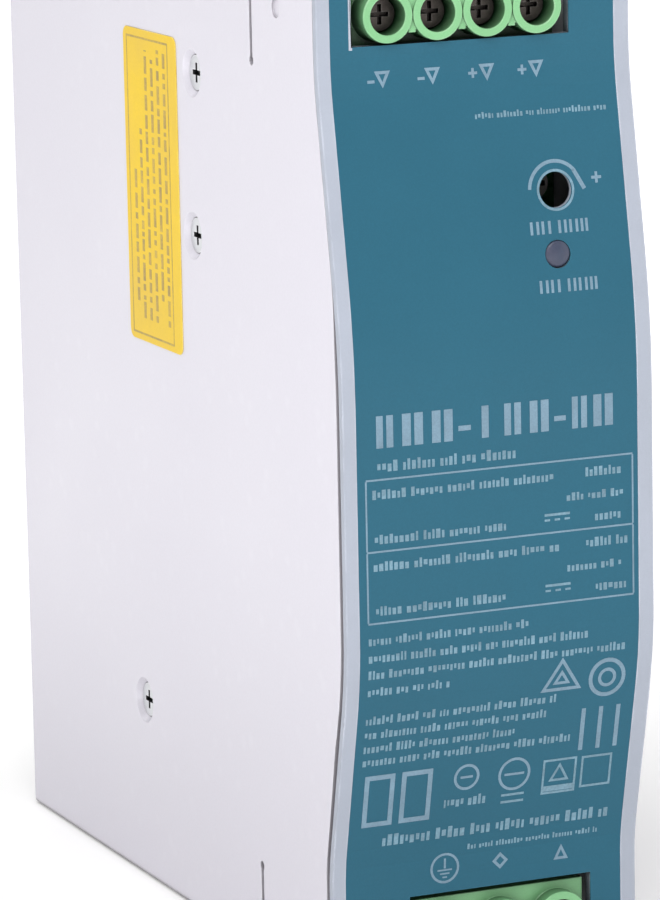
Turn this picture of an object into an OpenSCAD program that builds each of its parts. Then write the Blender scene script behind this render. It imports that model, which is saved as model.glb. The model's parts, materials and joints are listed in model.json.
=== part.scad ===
// Enclosed DIN rail power supply: sheet metal case, curved front panel, two screw
// terminal blocks, the boards and components inside, and a spring latch for a 35 mm rail.
// Frame: X is the width, the front faces -Y, +Z is up; the origin is the middle of the bottom.

/* [Case] */
// Width of the case and of the front panel
case_w = 40; // [40:0.5:44]
// Height of the case
case_h = 125.2; // [125:0.1:127]
// Depth from the crown of the front panel to the back of the rail hooks
depth = 113.5; // [113:0.5:116]
// Thickness of the metal sheet
sheet = 1; // [0.8:0.1:1]
// Radius of the folds, and the size of the corner reliefs
fold_r = 1; // [0.6:0.1:1]

/* [Front panel] */
// Thickness of the moulded wall
panel_wall = 1.6; // [1.4:0.1:1.8]
// Height of the plain rim above and below the printed label
rim = 1.55; // [1.2:0.05:2]
// Depth of the rim's flank, in front of the metal sides
flank = 1; // [0.8:0.1:1.2]
// Height of the panel's crown above the bottom
crown_z = 68; // [66:0.5:70]

/* [Output terminals] */
// Number of poles
out_poles = 4; // [3:1:4]
// Distance between poles
out_pitch = 6.35; // [6.2:0.05:6.35]
// Height of the screw axes above the bottom
out_z = 116.6; // [116.4:0.1:117]

/* [Input terminals] */
// Number of poles
in_poles = 3; // [2:1:3]
// Distance between poles
in_pitch = 7.62; // [7.5:0.02:7.62]
// Height of the screw axes above the bottom
in_z = 6.2; // [6:0.1:6.4]

/* [Rail fixing] */
// Height of the rail's centre line above the bottom
rail_z = 68; // [67:0.5:69]
// Height of the rail's section, edge to edge
rail_h = 35; // [34.8:0.1:35.2]
// Space behind the seat for the rail's edge
rail_gap = 1.32; // [1.2:0.01:1.4]
// How far the hooks reach over the rail's edge
hook_reach = 2.6; // [2.2:0.1:3]

/* [Hidden] */
$fn = 48;

half_w = case_w / 2;
inner_x = half_w - sheet;
bulge_y = -depth / 2;
foot_y = depth / 2;
foot_d = 5.12;
back_y = foot_y - foot_d;
eps = 0.1;

// The front panel's side profile: a flat top, a run forward to a tall crown, a run back in
// and a flat foot.
top_slope = 0.175;
low_slope = 0.23;
profile_steps = 52;
function bend(d, run, slope) =
    d <= 0 ? 0 : d >= run ? slope * (d - run / 2) : slope * d * d / (2 * run);
function front_y(z) = bulge_y
    + bend(z - crown_z - 3, 16, top_slope) - bend(z - crown_z - 38.5, 6.5, top_slope)
    + bend(crown_z - 23 - z, 10, low_slope) - bend(crown_z - 50 - z, 5, low_slope);
// The gap between the panel's flank and the metal sides is wider below the status light.
function seam(z) = 0.15 + 0.75 * min(1, max(0, (86 - z) / 8));
function steps_between(z0, z1) = [for (i = [0:profile_steps]) z0 + (z1 - z0) * i / profile_steps];

// Openings in the front panel
out_notch_x = [-15.6, 12.2];
out_notch_z = 113.2;
in_notch_x = [-10, 14];
in_notch_z = 11.3;
pot_at = [9, 95.2];
pot_hole_r = 2.1;
led_at = [8.6, 87.8];
led_hole_r = 1.65;
// The wall is thinner in a ring around both holes
thin_wall = 0.8;
thin_ring = 0.9;
label_x = [1.7 - half_w, half_w - 2];
label_d = [0.05, 0.25];
// Strip of the panel left bare beside the output terminals
lip_w = 0.35;

// Inner planes: the front boards, the main board and the skirts of the panel
front_board_y = [-36.9, -35.3];
main_board_x = [14.6, 16.2];
skirt_x = [17.7, inner_x - 0.1];
skirt_y = -45;
post_r = 2.5;
out_posts = [[-14.5, 105], [14.5, 85]];
in_posts = [[-14.5, 15], [14.5, 20]];

// Terminal blocks
out_x0 = -1.7;
in_x0 = 2;
function pole_x(x0, pitch, poles, i) = x0 + pitch * (i - (poles + 1) / 2);
barrel_y = -52;
out_nose_y = -48.5;
in_nose_y = -50.2;
out_room_y = -47.9;
in_room_y = -49.2;
room_back_y = -37.9;
out_head_y = [-49.5, -48.1];
in_head_y = [-51, -49.6];
out_head_r = 1.95;
in_head_r = 2.15;
shank_r = 1.45;
thread_r = 1.5;
bar_t = 0.8;
out_bar_y = -43.6;
in_bar_y = -44.3;
cage_half_h = 2.6;
cage_back = [-39.2, -38.3];
out_room = 2.575;
in_room = 3.1;
out_cage = [1.6, 2.25];
in_cage = [2.1, 2.8];

// Fasteners through the left side: [y, z]
side_screws = [[-12.9, 106.7], [-12, 86.6], [8.6, 23.7]];
side_sink_r = [2.95, 1.95];
side_head_r = 2.2;
side_head_drop = 0.62;
pad_x = [-inner_x, -inner_x + 0.6];
sink_x = [-inner_x + 0.6, -inner_x + 3.6];

// Heatsinks: [y range, z range] of the plate, and the y range of the leg
out_sink = [[-20, -5], [80, 114], [-8, -5]];
in_sink = [[1, 17], [8, 46], [14, 17]];

// Cover screws: [x, y]
cover_screws_at = [[14.5, -14], [14.5, 38]];
cover_lip_x = 11;

// Rail bracket and latch
rail_top = rail_z + rail_h / 2;
rail_low = rail_z - rail_h / 2;
plate_y = back_y + 1;
seat_y = foot_y - 2 - rail_gap;
lip_y = foot_y - 2;
latch_y = [plate_y + 0.27, foot_y - 1.15];
latch_half = 8.1;
tongue_half = 10;
guide_half = 14;
spring_z = [27, 39];
spring_coil_r = 0.95;
spring_wire_r = 0.2;
bracket_screws_at = [[-9.5, 58], [9.5, 58], [-9.5, 78], [9.5, 78], [-12, 16.5], [12, 16.5]];

// ---- Helpers ----

// A box given by its X, Y and Z ranges
module block(x, y, z) {
    translate([x[0], y[0], z[0]]) cube([x[1] - x[0], y[1] - y[0], z[1] - z[0]]);
}

module rod_x(x, r, y, z) {
    translate([x[0], y, z]) rotate([0, 90, 0]) cylinder(h = x[1] - x[0], r = r);
}

module rod_y(y, r, x, z) {
    translate([x, y[1], z]) rotate([90, 0, 0]) cylinder(h = y[1] - y[0], r = r);
}

module rod_z(z, r, x, y) {
    translate([x, y, z[0]]) cylinder(h = z[1] - z[0], r = r);
}

// A flat outline in Y and Z, given thickness between two X values
module slab(x) {
    translate([x[0], 0, 0]) rotate([90, 0, 90]) linear_extrude(x[1] - x[0]) children();
}

// A strip that follows the front profile, between two depths behind it
module panel_band(x, d, z) {
    zs = steps_between(z[0], z[1]);
    slab(x) polygon(concat(
        [for (v = zs) [front_y(v) + d[0], v]],
        [for (i = [len(zs) - 1:-1:0]) [front_y(zs[i]) + d[1], zs[i]]]));
}

// Everything between the front profile and a plane behind it
module panel_web(x, d, back, z) {
    zs = steps_between(z[0], z[1]);
    slab(x) polygon(concat([for (v = zs) [front_y(v) + d, v]], [[back, z[1]], [back, z[0]]]));
}

// Countersunk screw along -Z, its head's top at the origin, with a cross recess
module flat_screw(head_r, r, length) {
    difference() {
        union() {
            translate([0, 0, r - head_r]) cylinder(h = head_r - r, r1 = r, r2 = head_r);
            translate([0, 0, -length]) cylinder(h = length - head_r + r, r = r);
        }
        for (a = [0, 90]) rotate(a) translate([-head_r * 0.55, -0.3, -0.8])
            cube([head_r * 1.1, 0.6, 1]);
    }
}

// Pan head screw along -Z, its head sitting on the origin's plane
module pan_screw(head_r, head_h, r, length) {
    difference() {
        union() {
            cylinder(h = head_h, r = head_r);
            translate([0, 0, -length]) cylinder(h = length, r = r);
        }
        for (a = [0, 90]) rotate(a) translate([-head_r * 0.6, -0.25, head_h - 0.7])
            cube([head_r * 1.2, 0.5, 1]);
    }
}

// ---- Case ----

module side_outline() {
    polygon(concat(
        [for (z = steps_between(0, case_h)) [front_y(z) + flank + seam(z), z]],
        [[back_y - fold_r, case_h], [back_y, case_h - fold_r],
         [back_y, fold_r], [back_y - fold_r, 0]]));
}

// What is cut away from a square edge to leave a fold of radius fold_r
module fold_cut(length) {
    difference() {
        translate([-eps, -eps, -eps]) cube([fold_r + eps, fold_r + eps, length + 2 * eps]);
        translate([fold_r, fold_r, -2 * eps]) cylinder(h = length + 4 * eps, r = fold_r);
    }
}

// Slots in two columns over the boards, cut through a horizontal sheet
vent_rows = 12;
vent_pitch = 5.4;
vent_y0 = -19;
vent_x = [-11.5, 1.5];
vent_r = 1.2;
vent_half = 4;
module vent_slots(z) {
    for (row = [0:vent_rows - 1], x = vent_x) translate([x, vent_y0 + row * vent_pitch, z]) {
        translate([-vent_half, -vent_r, 0]) cube([2 * vent_half, 2 * vent_r, 2 * sheet]);
        for (s = [-1, 1]) translate([s * vent_half, 0, 0]) cylinder(h = 2 * sheet, r = vent_r);
    }
}

slit_w = 0.8;
slit_r = 0.6;
top_slit = [-31.8, 110.1];
low_slit = [-29.5, 11.1];
module chassis_shell() color("#e9e7ee") difference() {
    union() {
        slab([-half_w, -inner_x]) side_outline();
        block([-half_w, inner_x], [back_y - sheet, back_y], [0, case_h]);
        block([-half_w, inner_x], [top_slit[0] + slit_w / 2, back_y], [case_h - sheet, case_h]);
        block([-half_w, inner_x], [low_slit[0] + slit_w / 2, back_y], [0, sheet]);
    }
    // Folds between the side and the back, top and bottom
    translate([-half_w, back_y, 0]) mirror([0, 1, 0]) fold_cut(case_h);
    translate([-half_w, back_y, 0]) rotate([90, 0, 0]) fold_cut(back_y - low_slit[0]);
    translate([-half_w, back_y, case_h]) rotate([90, 0, 0]) mirror([0, 1, 0])
        fold_cut(back_y - top_slit[0]);
    // Relief slits where the folded edges stop
    block([-half_w - eps, eps - inner_x], [top_slit[0] - slit_w / 2, top_slit[0] + slit_w / 2],
          [top_slit[1], case_h + eps]);
    rod_x([-half_w - eps, eps - inner_x], slit_r, top_slit[0], top_slit[1]);
    block([-half_w - eps, eps - inner_x], [low_slit[0] - slit_w / 2, low_slit[0] + slit_w / 2],
          [-eps, low_slit[1]]);
    rod_x([-half_w - eps, eps - inner_x], slit_r, low_slit[0], low_slit[1]);
    // Countersinks for the heatsink screws, and a locating dimple
    for (p = side_screws) translate([-half_w - 0.01, p[0], p[1]]) rotate([0, 90, 0])
        cylinder(h = sheet + 0.02, r1 = side_sink_r[0], r2 = side_sink_r[1]);
    rod_x([-half_w - eps, -half_w + 0.3], 1.2, -39.5, 117);
    // Vents, and holes for the cover and bracket screws
    vent_slots(-sheet / 2);
    vent_slots(case_h - 1.5 * sheet);
    for (p = cover_screws_at) {
        translate([p[0], p[1], -0.01]) cylinder(h = sheet + 0.02, r1 = 2.6, r2 = 1.6);
        translate([p[0], p[1], case_h - sheet - 0.01]) cylinder(h = sheet + 0.02, r1 = 1.6, r2 = 2.6);
    }
    for (p = bracket_screws_at) rod_y([back_y - 2 * sheet, back_y + eps], 1.6, p[0], p[1]);
}

module side_cover() color("#e2e0e8") difference() {
    union() {
        slab([inner_x, half_w]) side_outline();
        block([cover_lip_x, inner_x], [-20, 45], [case_h - 2 * sheet - 0.1, case_h - sheet - 0.1]);
        block([cover_lip_x, inner_x], [-20, 45], [sheet + 0.1, 2 * sheet + 0.1]);
        block([cover_lip_x, inner_x], [back_y - 2 * sheet - 0.1, back_y - sheet - 0.1], [8, 118]);
    }
    for (p = cover_screws_at) rod_z([-eps, case_h + eps], thread_r, p[0], p[1]);
    for (p = bracket_screws_at) rod_y([back_y - 3 * sheet, back_y], 2, p[0], p[1]);
}

module cover_screws() color("#b9bac0") for (p = cover_screws_at) {
    translate([p[0], p[1], case_h - 0.05]) flat_screw(2.45, shank_r, 5);
    translate([p[0], p[1], 0.05]) mirror([0, 0, 1]) flat_screw(2.45, shank_r, 5);
}

// ---- Front panel ----

module notches() {
    block(out_notch_x, [-60, skirt_y + eps], [out_notch_z, case_h + 1]);
    block(in_notch_x, [-60, skirt_y + eps], [-1, in_notch_z]);
}

module window_holes() {
    rod_y([-60, -50], pot_hole_r, pot_at[0], pot_at[1]);
    rod_y([-60, -50], led_hole_r, led_at[0], led_at[1]);
}

// Thins the wall around a hole from behind
module thin_cut(r, x, z) intersection() {
    panel_band([x - 4, x + 4], [thin_wall, 4], [z - 4, z + 4]);
    rod_y([-60, -45], r + thin_ring, x, z);
}

// The field of the printed label, between two depths
module label_field(d) difference() {
    panel_band(label_x, d, [rim, case_h - rim]);
    block([out_notch_x[0] - lip_w, out_notch_x[0] + eps], [-60, -45], [out_notch_z - lip_w, case_h]);
}

module front_panel() color("#b9c4d2") difference() {
    union() {
        panel_band([-half_w, half_w], [0, flank], [0, case_h]);
        panel_band([-skirt_x[1], skirt_x[1]], [flank, panel_wall], [0, case_h]);
        panel_web([-skirt_x[1], -skirt_x[0]], flank, skirt_y, [0, case_h]);
        panel_web(skirt_x, flank, skirt_y, [0, case_h]);
        panel_web([-skirt_x[1], skirt_x[1]], flank, skirt_y, [0, 1.2]);
        panel_web([-skirt_x[1], skirt_x[1]], flank, skirt_y, [case_h - 1.2, case_h]);
        for (z = [32, 60]) panel_web([-skirt_x[0], skirt_x[0]], flank, -49, [z, z + 1.2]);
        for (p = concat(out_posts, in_posts))
            rod_y([front_y(p[1]) + flank, front_board_y[0]], post_r, p[0], p[1]);
    }
    label_field([-1, label_d[1]]);
    notches();
    window_holes();
    thin_cut(pot_hole_r, pot_at[0], pot_at[1]);
    thin_cut(led_hole_r, led_at[0], led_at[1]);
    for (p = concat(out_posts, in_posts))
        rod_y([front_board_y[0] - 9, front_board_y[0] + eps], 1, p[0], p[1]);
}

module front_label() color("#3a7088") difference() {
    label_field(label_d);
    notches();
    window_holes();
}

// Yellow sheet on the left side, with rounded corners
label_y = [-8, 9.6];
label_z = [71, 110.5];
label_r = 1.2;
module side_label() color("#f4cf4d") slab([-half_w - 0.1, -half_w]) union() {
    translate([label_y[0], label_z[0] + label_r])
        square([label_y[1] - label_y[0], label_z[1] - label_z[0] - 2 * label_r]);
    translate([label_y[0] + label_r, label_z[0]])
        square([label_y[1] - label_y[0] - 2 * label_r, label_z[1] - label_z[0]]);
    for (y = [label_y[0] + label_r, label_y[1] - label_r], z = [label_z[0] + label_r, label_z[1] - label_r])
        translate([y, z]) circle(label_r);
}

// ---- Terminal blocks ----

module terminal_pole_cut(x, z, bore_r, room, room_y, wire_dir, bar_y) {
    half_h = cage_half_h + 0.3;
    wire_z = wire_dir > 0 ? [z + half_h - eps, z + 9] : [z - 9, z - half_h + eps];
    slot_z = wire_dir > 0 ? [z - half_h - 1.6, z - half_h + eps] : [z + half_h - eps, z + half_h + 1.1];
    rod_y([barrel_y - eps, room_y + eps], bore_r, x, z);
    block([x - room, x + room], [room_y, room_back_y], [z - half_h, z + half_h]);
    block([x - room, x + room], [bar_y + bar_t - eps, room_back_y], wire_z);
    block([x - 1.4, x + 1.4], [bar_y - eps, front_board_y[0] + eps], slot_z);
}

out_body_half = out_poles * out_pitch / 2 + 0.5;
module output_terminal_body() color("#63a06c") difference() {
    union() {
        block([out_x0 - out_body_half, out_x0 + out_body_half], [out_nose_y, front_board_y[0]],
              [110.6, 124.6]);
        for (i = [1:out_poles])
            rod_y([barrel_y, out_nose_y + eps], 3.15, pole_x(out_x0, out_pitch, out_poles, i), out_z);
        // Webs that join neighbouring barrels
        for (i = [1:out_poles - 1])
            let (x = pole_x(out_x0, out_pitch, out_poles, i + 0.5))
                block([x - 0.5, x + 0.5], [barrel_y + 0.3, out_nose_y + eps], [out_z - 2.1, out_z + 2.1]);
    }
    for (i = [1:out_poles])
        terminal_pole_cut(pole_x(out_x0, out_pitch, out_poles, i), out_z, 2.2,
                          out_room, out_room_y, 1, out_bar_y);
}

in_body_half = in_poles * in_pitch / 2 - 0.13;
module input_terminal_body() color("#63a06c") difference() {
    union() {
        block([in_x0 - in_body_half, in_x0 + in_body_half], [in_nose_y, front_board_y[0]], [0.6, 10.6]);
        for (i = [1:in_poles])
            rod_y([barrel_y, in_nose_y + eps], 3.4, pole_x(in_x0, in_pitch, in_poles, i), in_z);
    }
    for (i = [1:in_poles])
        terminal_pole_cut(pole_x(in_x0, in_pitch, in_poles, i), in_z, 2.4,
                          in_room, in_room_y, -1, in_bar_y);
}

// Captive clamp screw facing the front, its tip just short of the contact bar
module clamp_screw(x, z, head_r, head_y, bar_y) {
    translate([x, head_y[1], z]) rotate([90, 0, 0])
        pan_screw(head_r, head_y[1] - head_y[0], shank_r, bar_y - 0.4 - head_y[1]);
}

module output_screw(i) color("#8d8f93")
    clamp_screw(pole_x(out_x0, out_pitch, out_poles, i), out_z, out_head_r, out_head_y, out_bar_y);
module input_screw(i) color("#8d8f93")
    clamp_screw(pole_x(in_x0, in_pitch, in_poles, i), in_z, in_head_r, in_head_y, in_bar_y);

// Box clamp that the screw draws forward; its front wall holds the thread
module clamp_cage(x, z, cage, front) {
    z_range = [z - cage_half_h, z + cage_half_h];
    difference() {
        block([x - cage[1], x + cage[1]], [front[0], cage_back[1]], z_range);
        block([x - cage[0], x + cage[0]], [front[1], cage_back[0]], [z_range[0] - eps, z_range[1] + eps]);
        rod_y([front[0] - eps, front[1] + eps], thread_r, x, z);
    }
}

module output_cage(i) color("#c9b46a")
    clamp_cage(pole_x(out_x0, out_pitch, out_poles, i), out_z, out_cage, [-45.3, -44.1]);
module input_cage(i) color("#c9b46a")
    clamp_cage(pole_x(in_x0, in_pitch, in_poles, i), in_z, in_cage, [-45.8, -44.8]);

// Tinned bar inside each cage, with a leg back through the board
module contact_bar(x, bar_y, bar_z, leg_z) {
    block([x - 1.25, x + 1.25], [bar_y, bar_y + bar_t], bar_z);
    block([x - 0.85, x + 0.85], [bar_y + bar_t - eps, front_board_y[1] + 1], leg_z);
}

out_leg_z = [112.25, 113.3];
in_leg_z = [9.15, 10.1];
module output_contacts() color("#d6d2c4") for (i = [1:out_poles])
    contact_bar(pole_x(out_x0, out_pitch, out_poles, i), out_bar_y,
                [out_leg_z[0], out_z + cage_half_h - 0.2], out_leg_z);
module input_contacts() color("#d6d2c4") for (i = [1:in_poles])
    contact_bar(pole_x(in_x0, in_pitch, in_poles, i), in_bar_y,
                [in_z - cage_half_h + 0.2, in_leg_z[1]], in_leg_z);

// ---- Front boards and what is on them ----

module adjust_pot_body() color("#2f5fa8") difference() {
    block([pot_at[0] - 3.4, pot_at[0] + 3.4], [-43.4, front_board_y[0]], [pot_at[1] - 3.4, pot_at[1] + 3.4]);
    rod_y([-43.5, -39.4], 1.75, pot_at[0], pot_at[1]);
}

module adjust_pot_rotor() color("#e4e0d6") difference() {
    union() {
        rod_y([-43.8, -39.7], 1.7, pot_at[0], pot_at[1]);
        rod_y([-48, -43.7], 1.9, pot_at[0], pot_at[1]);
    }
    for (a = [0, 90]) translate([pot_at[0], -47.2, pot_at[1]]) rotate([90, a, 0])
        translate([-1.5, -0.3, 0]) cube([3, 0.6, 1]);
}

lens_y = front_y(led_at[1]);
lens_r = 1.58;
module status_led() color("#7d7480") {
    rod_y([lens_y + 0.15, -51.9], lens_r, led_at[0], led_at[1]);
    translate([led_at[0], lens_y + 0.15, led_at[1]]) rotate([90, 0, 0])
        cylinder(h = 0.2, r1 = lens_r, r2 = lens_r - 0.3);
    rod_y([-52.8, -51.9], 1.9, led_at[0], led_at[1]);
    for (s = [-1, 1]) rod_y([-52, front_board_y[1] + 1], 0.25, led_at[0] + s * 0.6, led_at[1]);
}

module led_holder() color("#26272a") difference() {
    rod_y([-51.9, front_board_y[0]], 2.3, led_at[0], led_at[1]);
    rod_y([-52, front_board_y[0] + eps], 1.1, led_at[0], led_at[1]);
}

module board_slot(x, z) {
    block([x - 1, x + 1], [front_board_y[0] - eps, front_board_y[1] + eps], [z[0] - 0.15, z[1] + 0.15]);
}

module output_board() color("#2f6b3f") difference() {
    block([-17, 17], front_board_y, [82, 123]);
    for (i = [1:out_poles]) board_slot(pole_x(out_x0, out_pitch, out_poles, i), out_leg_z);
    for (p = out_posts) rod_y([-37, -35], 1.2, p[0], p[1]);
    for (s = [-1, 1]) rod_y([-37, -35], 0.4, led_at[0] + s * 0.6, led_at[1]);
}

module input_board() color("#2f6b3f") difference() {
    block([-17, 17], front_board_y, [2.2, 38]);
    for (i = [1:in_poles]) board_slot(pole_x(in_x0, in_pitch, in_poles, i), in_leg_z);
    for (p = in_posts) rod_y([-37, -35], 1.2, p[0], p[1]);
}

module panel_screws() color("#b9bac0") for (p = concat(out_posts, in_posts))
    translate([p[0], front_board_y[1], p[1]]) rotate([-90, 0, 0]) pan_screw(2, 1.3, 0.95, 7);

// ---- Main board and power parts ----

board_screws_at = [
    for (sink = [out_sink, in_sink], z = [sink[1][0] + 3, sink[1][1] - 3])
        [(sink[2][0] + sink[2][1]) / 2, z]
];
module main_board() color("#2f6b3f") difference() {
    block(main_board_x, [-33, 48], [6, 117]);
    for (p = board_screws_at) rod_x([14, 17], 1.3, p[0], p[1]);
}

module board_screws() color("#b9bac0") for (p = board_screws_at)
    translate([main_board_x[1], p[0], p[1]]) rotate([0, 90, 0]) pan_screw(2, 1.2, 1, 8);

module heatsink(sink) difference() {
    union() {
        block(sink_x, sink[0], sink[1]);
        block([sink_x[1] - eps, main_board_x[0]], sink[2], sink[1]);
    }
    for (p = side_screws) rod_x([sink_x[0] - eps, sink_x[1] + eps], thread_r, p[0], p[1]);
    for (p = board_screws_at) rod_x([main_board_x[0] - 7, main_board_x[0] + eps], 1.03, p[0], p[1]);
}

module secondary_heatsink() color("#c4c6ca") heatsink(out_sink);
module primary_heatsink() color("#c4c6ca") heatsink(in_sink);

module heatsink_screws() color("#c9cacf") for (p = side_screws)
    translate([-half_w + side_head_drop, p[0], p[1]]) rotate([0, -90, 0])
        flat_screw(side_head_r, shank_r, 5.4);

module thermal_pads() color("#9fb4c8") for (sink = [out_sink, in_sink]) difference() {
    block(pad_x, sink[0], sink[1]);
    for (p = side_screws) rod_x([pad_x[0] - eps, pad_x[1] + eps], 2, p[0], p[1]);
}

// Power device with its tab against a heatsink's leg and its leads into the board
module tab_device(face_y, z) {
    block([-6.5, 9], [face_y - 1.3, face_y], [z - 5, z + 5]);
    block([0, 9], [face_y - 4.4, face_y - 1.25], [z - 5, z + 5]);
    for (s = [-1:1]) block([8.9, main_board_x[0]], [face_y - 3, face_y - 2.4], [z + s * 2.54 - 0.4, z + s * 2.54 + 0.4]);
}

module output_rectifiers() color("#2a2b2e") for (z = [90.5, 103.5]) tab_device(out_sink[2][0], z);
module switching_transistors() color("#2a2b2e") for (z = [18, 34]) tab_device(in_sink[2][0], z);

module bridge_rectifier() color("#2a2b2e") {
    block([-7, 10], [in_sink[2][1], in_sink[2][1] + 3.6], [19, 41]);
    for (i = [0:3]) block([9.9, main_board_x[0]], [18.4, 19.4], [22 + i * 5.08, 22.8 + i * 5.08]);
}

core_at = [26, 68];
core_half = 18;
core_x = [-15, 12];
core_plate = 5;
module transformer_core() color("#3c3b3d") difference() {
    union() {
        for (x = [core_x[0], core_x[1] - core_plate])
            block([x, x + core_plate], [core_at[0] - 10, core_at[0] + 10], [core_at[1] - core_half, core_at[1] + core_half]);
        for (s = [-1, 1]) translate([0, 0, core_at[1] + s * (core_half - 2.5)])
            block([core_x[0] + 1, core_x[1] - 1], [core_at[0] - 10, core_at[0] + 10], [-2.5, 2.5]);
        rod_x([core_x[0] + 1, core_x[1] - 1], 6, core_at[0], core_at[1]);
    }
    block([-1.6, -1.4], [core_at[0] - 11, core_at[0] + 11], [core_at[1] - 19, core_at[1] + 19]);
}

spool_x = [core_x[0] + core_plate + 0.1, core_x[1] - core_plate - 0.1];
module transformer_bobbin() color("#e8e2cf") {
    difference() {
        union() {
            rod_x(spool_x, 7.2, core_at[0], core_at[1]);
            rod_x([spool_x[0], spool_x[0] + 1], 12.8, core_at[0], core_at[1]);
            rod_x([spool_x[1] - 1, spool_x[1]], 12.8, core_at[0], core_at[1]);
        }
        rod_x([core_x[0], core_x[1]], 6.2, core_at[0], core_at[1]);
    }
    for (s = [-1, 1]) block([core_x[1], main_board_x[0]],
        s > 0 ? [core_at[0] + 5, core_at[0] + 12] : [core_at[0] - 12, core_at[0] - 5],
        [core_at[1] - core_half, core_at[1] + core_half]);
}

module transformer_winding() color("#e7c23a") difference() {
    rod_x([spool_x[0] + 1, spool_x[1] - 1], 12, core_at[0], core_at[1]);
    rod_x([spool_x[0], spool_x[1]], 7.2, core_at[0], core_at[1]);
}

// Can capacitor standing on the main board, with a crimped groove near its foot
module can_capacitor(r, length, y, z) {
    foot = main_board_x[0];
    difference() {
        rod_x([foot - length, foot], r, y, z);
        translate([foot - 3, y, z]) rotate([0, 90, 0]) rotate_extrude() translate([r + 0.3, 0]) circle(0.8);
        for (a = [0, 60, 120]) translate([foot - length, y, z]) rotate([a, 0, 0])
            translate([-eps, -0.15, -r * 0.7]) cube([0.3 + eps, 0.3, r * 1.4]);
    }
}

module bulk_capacitor() color("#2c3a55") can_capacitor(12, 30, 34.5, 32);
module output_capacitors() color("#3b4a35") for (z = [111.5, 99.5, 87.5]) can_capacitor(5, 25, -26.5, z);

module ring(x, r, y, z) {
    translate([x[0], y, z]) rotate([0, 90, 0]) rotate_extrude()
        translate([r[0], 0]) square([r[1] - r[0], x[1] - x[0]]);
}

module output_choke() color("#b5803a") {
    ring([4.6, 13.6], [3.4, 8], -24, 73);
    block([13.6, main_board_x[0]], [-31, -17], [66, 80]);
}

module common_mode_choke() color("#a86a33") {
    ring([3.6, 13.6], [5, 11], -12, 48);
    block([13.6, main_board_x[0]], [-22, -2], [38, 58]);
}

module x_capacitor() color("#c9c2ae") difference() {
    block([-1, main_board_x[0]], [-32, -23], [8, 26]);
    block([-1 - eps, -0.6], [-31, -24], [9, 25]);
}

module fuse() color("#d9dde0") {
    rod_z([44, 64], 2.4, 9.4, -29);
    rod_z([44, 49.5], 2.6, 9.4, -29);
    rod_z([58.5, 64], 2.6, 9.4, -29);
}

module fuse_clips() color("#c9b46a") for (z = [44.8, 59.6]) difference() {
    block([6.6, main_board_x[0]], [-32, -26], [z, z + 3.6]);
    rod_z([z - eps, z + 3.6 + eps], 2.62, 9.4, -29);
    block([6.5, 9.4], [-31, -27], [z - eps, z + 3.6 + eps]);
    block([12.6, 13.8], [-33, -25], [z - eps, z + 3.6 + eps]);
    for (s = [-1, 1]) block([12.5, 13.9], s > 0 ? [-26.6, -25] : [-33, -31.4], [z - eps, z + 3.6 + eps]);
}

// Disc component on two leads
module disc(x, r, y, z) {
    rod_y(y, r, x, z);
    for (s = [-1, 1]) rod_x([x + r * 0.5, main_board_x[0]], 0.35, (y[0] + y[1]) / 2, z + s * r * 0.5);
}

module varistor() color("#2f6fb0") disc(7.6, 5, [-14, -10], 13);
module thermistor() color("#39423a") disc(6.6, 6, [-14, -9.5], 28);
module y_capacitors() color("#3f7fb5") for (z = [31, 39.6]) disc(9, 4, [-31, -27.5], z);

module control_board() color("#2f6b3f") {
    block([-6, main_board_x[0]], [-16, 6], [64, 65.6]);
    block([0, 6], [-12, -7], [65.6, 67]);
    block([4, 10], [-2, 3], [65.6, 67.2]);
}

module insulation_sheet() color("#e9e6d8") block([18.2, 18.6], [-30, 48], [4, 121]);

// ---- Rail bracket and latch ----

module rail_bracket() color("#c3c5c9") difference() {
    union() {
        block([-guide_half, guide_half], [back_y, plate_y], [11, rail_top + 4]);
        block([-guide_half, guide_half], [back_y, seat_y], [rail_low + 3.3, rail_top - hook_reach - 0.1]);
        for (s = [0, 1]) mirror([s, 0, 0]) {
            // Upper hook
            block([5, 13], [back_y, foot_y], [rail_top + 0.4, rail_top + 4]);
            block([5, 13], [lip_y, foot_y], [rail_top - hook_reach, rail_top + 0.5]);
            // Guide with a lip over the latch's tongue
            block([tongue_half + 0.35, guide_half], [back_y, foot_y - 1.15], [22, rail_low - 1.5]);
            block([latch_half + 0.4, guide_half], [foot_y - 2.15, foot_y - 1.15], [22, rail_low - 1.5]);
        }
        // Post that the spring stands on
        block([-1.5, 1.5], [back_y, foot_y - 1.35], [spring_z[0] - 1.6, spring_z[0]]);
    }
    for (p = bracket_screws_at) let (top = p[1] > rail_low ? seat_y : plate_y)
        translate([p[0], top, p[1]]) rotate([90, 0, 0]) {
            translate([0, 0, -0.01]) cylinder(h = 1.02, r1 = 2.55, r2 = 1.53);
            cylinder(h = 3, r = 1.53);
        }
}

module bracket_screws() color("#c9cacf") for (p = bracket_screws_at)
    translate([p[0], (p[1] > rail_low ? seat_y : plate_y) - 0.05, p[1]]) rotate([-90, 0, 0])
        flat_screw(2.45, shank_r, 4.2);

latch_low = 5.5;
module rail_latch() color("#8e9196") difference() {
    union() {
        block([-latch_half, latch_half], latch_y, [latch_low, rail_low - 0.3]);
        block([-tongue_half, tongue_half], [latch_y[0], foot_y - 2.45], [24, 46]);
        block([-latch_half, latch_half], [latch_y[0], foot_y], [rail_low - 4, rail_low - 0.3]);
        block([-latch_half, latch_half], [lip_y, foot_y], [rail_low - 1, rail_low + 2.1]);
        for (i = [0:2]) block([-latch_half, latch_half], [latch_y[1] - eps, latch_y[1] + 0.5],
                              [12 + i * 2, 13 + i * 2]);
    }
    block([-1.9, 1.9], [latch_y[0] - eps, foot_y + eps], [spring_z[0] - 1.9, spring_z[1] + 0.02]);
    block([-3, 3], [latch_y[0] - eps, latch_y[1] + eps], [7.4, 9.8]);
}

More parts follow.
